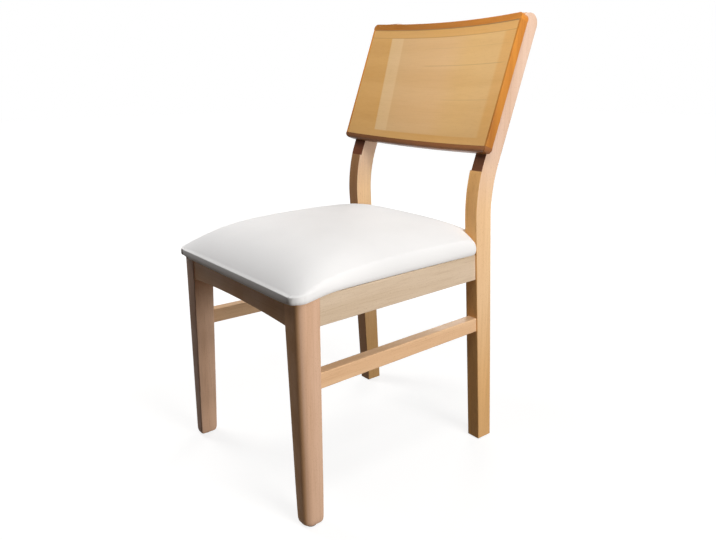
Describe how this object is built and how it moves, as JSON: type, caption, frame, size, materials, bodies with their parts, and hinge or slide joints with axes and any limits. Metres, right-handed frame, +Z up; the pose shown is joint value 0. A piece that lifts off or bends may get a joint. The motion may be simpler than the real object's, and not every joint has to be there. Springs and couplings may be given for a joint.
{
  "type": "upholstered dining chair",
  "caption": "Dining chair with a domed, cloth-covered seat pad on a wooden frame, tapered front legs, bent rear posts, side stretchers and a wide, curved, leaning back panel.",
  "frame": {"origin": "on the floor, under the middle of the chair's box", "axes": "+X to the right and +Y away from someone who stands in front of the chair and faces it, +Z up"},
  "size_m": [0.449, 0.6008, 0.9007],
  "materials": {
    "beech_frame": "satin lacquer, fine straight grain",
    "beech_posts": "satin lacquer, fine straight grain",
    "beech_stretchers": "satin lacquer, fine straight grain",
    "back_veneer": "gloss lacquer over golden veneer",
    "back_lipping": "gloss lacquer, darker solid edge",
    "plywood": "raw, sanded",
    "foam": "open-cell foam",
    "seat_cloth": "matt, fine close weave",
    "dust_cloth": "matt non-woven",
    "block_wood": "raw, sawn",
    "dowel_wood": "raw, turned",
    "steel": "zinc plated",
    "glide_nylon": "matt nylon"
  },
  "bodies": {
    "root": {"front_leg_left": "beech_frame", "front_leg_right": "beech_frame", "rear_post_left": "beech_posts", "rear_post_right": "beech_posts", "front_rail": "beech_frame", "rear_rail": "beech_frame", "side_rail_left": "beech_frame", "side_rail_right": "beech_frame", "side_stretcher_left": "beech_stretchers", "side_stretcher_right": "beech_stretchers", "back_panel": "back_veneer", "back_lipping_top": "back_lipping", "back_lipping_bottom": "back_lipping", "back_lipping_left": "back_lipping", "back_lipping_right": "back_lipping", "seat_board": "plywood", "seat_foam": "foam", "seat_cover": "seat_cloth", "seat_staples": "steel", "dust_cover": "dust_cloth", "corner_block_front_left": "block_wood", "corner_block_front_right": "block_wood", "corner_block_rear_left": "block_wood", "corner_block_rear_right": "block_wood", "corner_block_screws": "steel", "seat_screws": "steel", "back_screws": "steel", "post_plugs": "dowel_wood", "rail_dowels": "dowel_wood", "stretcher_dowels": "dowel_wood", "foot_glides": "glide_nylon"}
  },
  "joints": []
}
